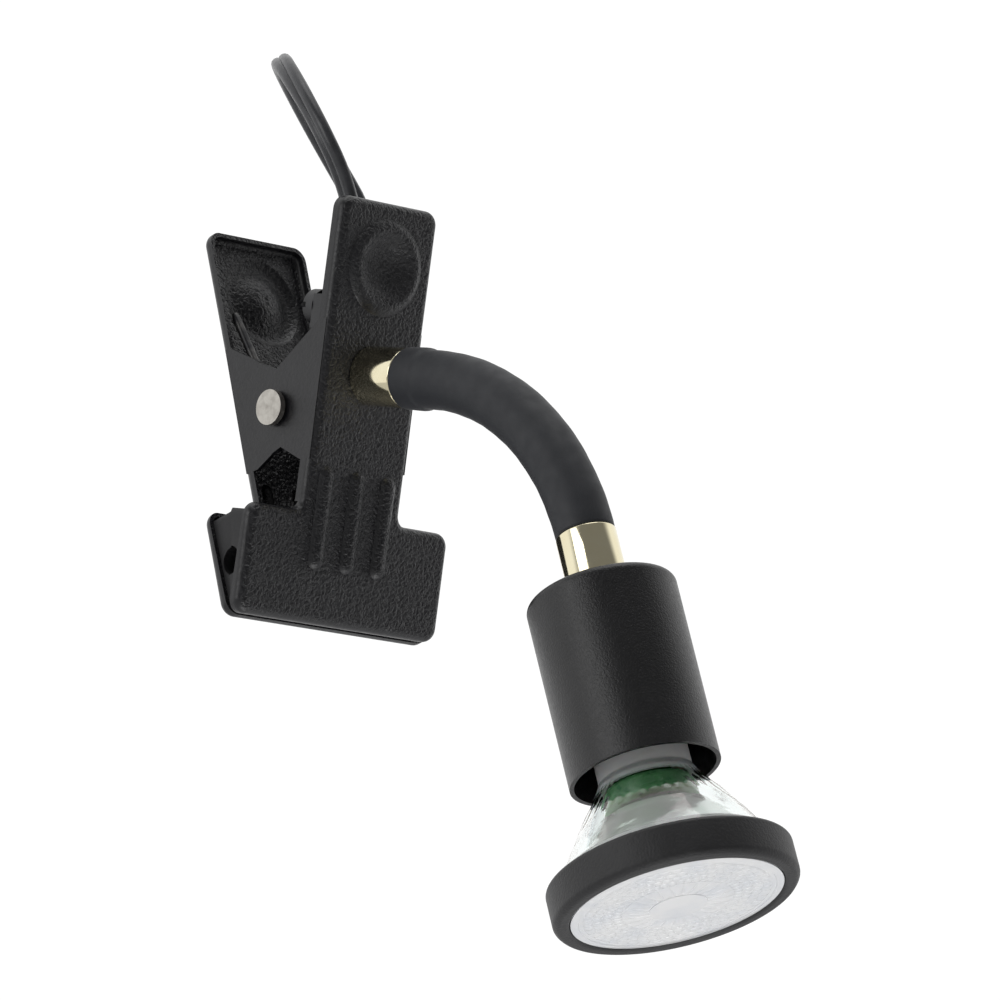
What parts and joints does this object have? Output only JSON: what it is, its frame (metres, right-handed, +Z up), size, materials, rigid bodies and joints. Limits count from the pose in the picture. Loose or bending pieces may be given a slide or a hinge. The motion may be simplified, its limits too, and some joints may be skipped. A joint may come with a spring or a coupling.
{
  "type": "clip on reading lamp",
  "caption": "Clip-on reading lamp: sprung two-plate clamp, sleeved gooseneck and a small cylindrical spot head with a reflector lamp, with its lead and plug.",
  "frame": {"origin": "middle of the jaw mouth at the jaws' lower edge, halfway between the two pads", "axes": "+Z up the clamp's middle plane from the jaw mouth to the handles, -Y towards the arm and the lamp head, +X to the right as seen from the arm's side"},
  "size_m": [0.1058, 0.2069, 0.2194],
  "materials": {
    "powder_black": "fine leather-grain black powder coat",
    "satin_black": "satin black paint",
    "pale_brass": "polished, pale",
    "nickel": "nickel plated",
    "spring_steel": "bright wire",
    "zinc_steel": "zinc plated",
    "black_sleeve": "matte soft PVC",
    "pad_rubber": "matte",
    "moulded_black": "fine matte moulding",
    "cord_pvc": "satin dark PVC",
    "plug_plastic": "fine matte moulding",
    "plug_brass": "nickelled brass",
    "ceramic": "off-white glazed ceramic",
    "contact_brass": "bright",
    "white_plastic": "semi-gloss white",
    "lamp_glass": "clear faceted",
    "ring_black": "fine matte texture",
    "lens_clear": "clear with fine prisms",
    "board_aluminium": "anodised with green mask rim",
    "board_green": "solder mask"
  },
  "bodies": {
    "clamp_front": {"front_plate": "powder_black", "front_pad": "pad_rubber", "pivot_pin": "nickel", "pin_clip": "nickel", "clamp_spring": "spring_steel", "base_ferrule": "pale_brass", "base_nipple": "zinc_steel", "base_nut": "zinc_steel", "base_washer": "zinc_steel", "sleeve_collar": "black_sleeve", "sleeve_base": "black_sleeve", "tube_base": "spring_steel", "cord_grip": "moulded_black", "grip_bar": "moulded_black", "grip_screw": "moulded_black", "cord_boot": "moulded_black", "cord_lead": "cord_pvc", "cord_hank": "cord_pvc", "cord_tail": "cord_pvc", "hank_tie": "moulded_black", "plug_body": "plug_plastic", "plug_blades": "plug_brass"},
    "rear_jaw": {"rear_plate": "powder_black", "rear_pad": "pad_rubber"},
    "neck_link_1": {"sleeve_link_1": "black_sleeve", "tube_link_1": "spring_steel"},
    "neck_link_2": {"sleeve_link_2": "black_sleeve", "tube_link_2": "spring_steel"},
    "neck_link_3": {"sleeve_link_3": "black_sleeve", "tube_link_3": "spring_steel"},
    "neck_link_4": {"sleeve_link_4": "black_sleeve", "tube_link_4": "spring_steel"},
    "neck_link_5": {"sleeve_link_5": "black_sleeve", "tube_link_5": "spring_steel"},
    "neck_link_6": {"sleeve_link_6": "black_sleeve", "tube_link_6": "spring_steel"},
    "lamp_head": {"sleeve_end": "black_sleeve", "tube_end": "spring_steel", "head_ferrule": "pale_brass", "head_nipple": "zinc_steel", "head_nut": "zinc_steel", "head_shell": "satin_black", "holder_bracket": "zinc_steel", "lamp_holder": "ceramic", "holder_contacts": "contact_brass", "holder_screws": "zinc_steel"},
    "lamp": {"bulb_base": "white_plastic", "bulb_pins": "contact_brass", "bulb_reflector": "lamp_glass", "bulb_ring": "ring_black", "bulb_lens": "lens_clear", "led_board": "board_aluminium", "driver_board": "board_green"}
  },
  "joints": [
    {"name": "jaw_pivot", "type": "hinge", "parent": "clamp_front", "child": "rear_jaw", "pos_m": [0, 0, 0.0486], "axis": [1, 0, 0], "range_deg": [0, 25], "stiffness_Nm_per_rad": 0.6, "springref_deg": -34.38, "deforming": ["clamp_spring"]},
    {"name": "neck_bend_1", "type": "hinge", "parent": "clamp_front", "child": "neck_link_1", "pos_m": [0, -0.03816, 0.05037], "axis": [1, 0, 0], "range_deg": [-16, 12]},
    {"name": "neck_sway_1", "type": "hinge", "parent": "neck_link_1", "child": "neck_link_2", "pos_m": [0, -0.04761, 0.04713], "axis": [0, 0.4005, -0.9163], "range_deg": [-18, 18]},
    {"name": "neck_bend_2", "type": "hinge", "parent": "neck_link_2", "child": "neck_link_3", "pos_m": [0, -0.05641, 0.0424], "axis": [1, 0, 0], "range_deg": [-16, 12]},
    {"name": "neck_sway_2", "type": "hinge", "parent": "neck_link_3", "child": "neck_link_4", "pos_m": [0, -0.0643, 0.03628], "axis": [0, 0.675, -0.7378], "range_deg": [-18, 18]},
    {"name": "neck_bend_3", "type": "hinge", "parent": "neck_link_4", "child": "neck_link_5", "pos_m": [0, -0.0711, 0.02896], "axis": [1, 0, 0], "range_deg": [-16, 12]},
    {"name": "neck_sway_3", "type": "hinge", "parent": "neck_link_5", "child": "neck_link_6", "pos_m": [0, -0.07659, 0.02062], "axis": [0, 0.8772, -0.4802], "range_deg": [-18, 18]},
    {"name": "neck_bend_4", "type": "hinge", "parent": "neck_link_6", "child": "lamp_head", "pos_m": [0, -0.08066, 0.01149], "axis": [1, 0, 0], "range_deg": [-16, 12]},
    {"name": "lamp_twist", "type": "hinge", "parent": "lamp_head", "child": "lamp", "pos_m": [0, -0.08554, -0.00473], "axis": [0, -0.284, -0.9588], "range_deg": [0, 35]}
  ],
  "couplings": [
    {"joint": "neck_bend_2", "follows": "neck_bend_1", "ratio": 1},
    {"joint": "neck_sway_2", "follows": "neck_sway_1", "ratio": 1},
    {"joint": "neck_bend_3", "follows": "neck_bend_1", "ratio": 1},
    {"joint": "neck_sway_3", "follows": "neck_sway_1", "ratio": 1},
    {"joint": "neck_bend_4", "follows": "neck_bend_1", "ratio": 1}
  ]
}
